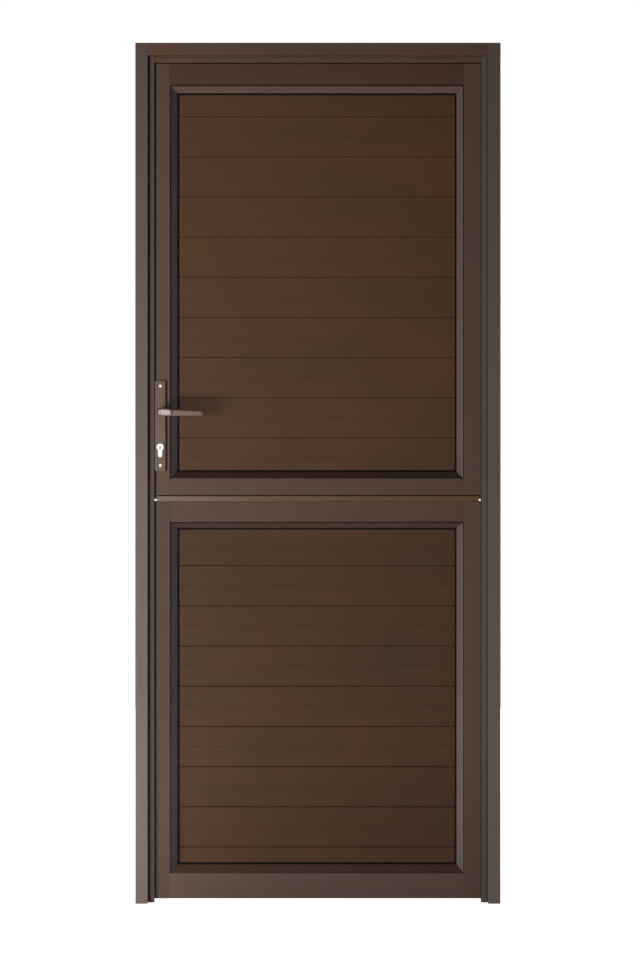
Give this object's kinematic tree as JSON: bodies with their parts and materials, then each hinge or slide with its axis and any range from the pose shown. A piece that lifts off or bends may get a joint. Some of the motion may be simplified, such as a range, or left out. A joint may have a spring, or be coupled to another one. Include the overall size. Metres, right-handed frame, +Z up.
{
  "type": "dutch stable door",
  "caption": "Bronze aluminium stable door: two slatted leaves, split above the middle, in a three-sided frame with lever lock, key cylinder, hinges and barrel bolts.",
  "frame": {"origin": "between the feet of the jambs at floor level, midway across the frame and on the leaves' mid-plane", "axes": "+X across the door towards the hinges, +Y from the outside towards the inside, the side that the leaves open to, +Z up"},
  "size_m": [0.89, 0.172, 2.098],
  "materials": {
    "bronze_profile": "satin",
    "bronze_slat": "satin",
    "strip_bronze": "satin",
    "handle_bronze": "satin",
    "steel": "satin",
    "nickel": "satin",
    "mill_aluminium": "satin",
    "black_rubber": "matte",
    "black_nylon": "matte"
  },
  "bodies": {
    "frame": {"lock_jamb": "bronze_profile", "hinge_jamb": "bronze_profile", "head": "bronze_profile", "head_cleats": "mill_aluminium", "frame_seals": "black_rubber", "strike_plate": "steel", "lower_bolt_keep": "steel", "frame_hinge_plates": "handle_bronze", "hinge_pins": "steel", "hinge_washers": "black_nylon", "frame_screws": "steel"},
    "lower_leaf": {"lower_lock_stile": "bronze_profile", "lower_hinge_stile": "bronze_profile", "lower_meeting_rail": "bronze_profile", "lower_bottom_rail": "bronze_profile", "lower_rail_cleats": "mill_aluminium", "lower_slats": "bronze_slat", "lower_top_bead": "bronze_profile", "lower_bottom_bead": "bronze_profile", "lower_lock_bead": "bronze_profile", "lower_hinge_bead": "bronze_profile", "lower_gaskets": "black_rubber", "meeting_strip": "strip_bronze", "meeting_seal": "black_rubber", "meeting_strip_rivets": "steel", "lower_hinge_plates": "handle_bronze", "meeting_bolt_barrel": "steel", "lower_bolt_barrel": "steel", "lower_leaf_screws": "steel"},
    "upper_leaf": {"upper_lock_stile": "bronze_profile", "upper_hinge_stile": "bronze_profile", "upper_top_rail": "bronze_profile", "upper_meeting_rail": "bronze_profile", "upper_rail_cleats": "mill_aluminium", "upper_slats": "bronze_slat", "upper_top_bead": "bronze_profile", "upper_bottom_bead": "bronze_profile", "upper_lock_bead": "bronze_profile", "upper_hinge_bead": "bronze_profile", "upper_gaskets": "black_rubber", "upper_hinge_plates": "handle_bronze", "lock_case": "steel", "lock_faceplate": "steel", "front_plate": "handle_bronze", "back_plate": "handle_bronze", "plate_screws": "nickel", "cylinder_body": "nickel", "meeting_bolt_keep": "steel", "upper_leaf_screws": "steel"},
    "lever_set": {"front_lever": "handle_bronze", "back_lever": "handle_bronze", "spindle": "steel", "lock_follower": "steel"},
    "latch": {"latch_bolt": "steel"},
    "deadlock": {"dead_bolt": "steel"},
    "key_turn": {"key_plugs": "nickel", "cylinder_cam": "nickel"},
    "meeting_bolt": {"meeting_bolt_rod": "steel"},
    "lower_bolt": {"lower_bolt_rod": "steel"}
  },
  "joints": [
    {"name": "lower_leaf_swing", "type": "hinge", "parent": "frame", "child": "lower_leaf", "pos_m": [0.41125, 0.0288, 0.5], "axis": [0, 0, -1], "range_deg": [0, 90]},
    {"name": "upper_leaf_swing", "type": "hinge", "parent": "lower_leaf", "child": "upper_leaf", "pos_m": [0.41125, 0.0288, 1.5], "axis": [0, 0, -1], "range_deg": [0, 90]},
    {"name": "lever_turn", "type": "hinge", "parent": "upper_leaf", "child": "lever_set", "pos_m": [-0.3855, 0, 1.198], "axis": [0, 1, 0], "range_deg": [0, 40], "stiffness_Nm_per_rad": 1.2, "springref_deg": -20.05},
    {"name": "latch_slide", "type": "slide", "parent": "upper_leaf", "child": "latch", "axis": [1, 0, 0], "range_m": [0, 0.01]},
    {"name": "key_turn", "type": "hinge", "parent": "upper_leaf", "child": "key_turn", "pos_m": [-0.3855, 0, 1.113], "axis": [0, 1, 0], "range_deg": [0, 360]},
    {"name": "dead_bolt_slide", "type": "slide", "parent": "upper_leaf", "child": "deadlock", "axis": [-1, 0, 0], "range_m": [0, 0.02]},
    {"name": "meeting_bolt_slide", "type": "slide", "parent": "lower_leaf", "child": "meeting_bolt", "axis": [0, 0, 1], "range_m": [0, 0.022]},
    {"name": "lower_bolt_slide", "type": "slide", "parent": "lower_leaf", "child": "lower_bolt", "axis": [-1, 0, 0], "range_m": [0, 0.022]}
  ],
  "couplings": [
    {"joint": "latch_slide", "follows": "lever_turn", "m_per_rad": 0.0143},
    {"joint": "key_turn", "follows": "dead_bolt_slide", "rad_per_m": 314.16}
  ]
}
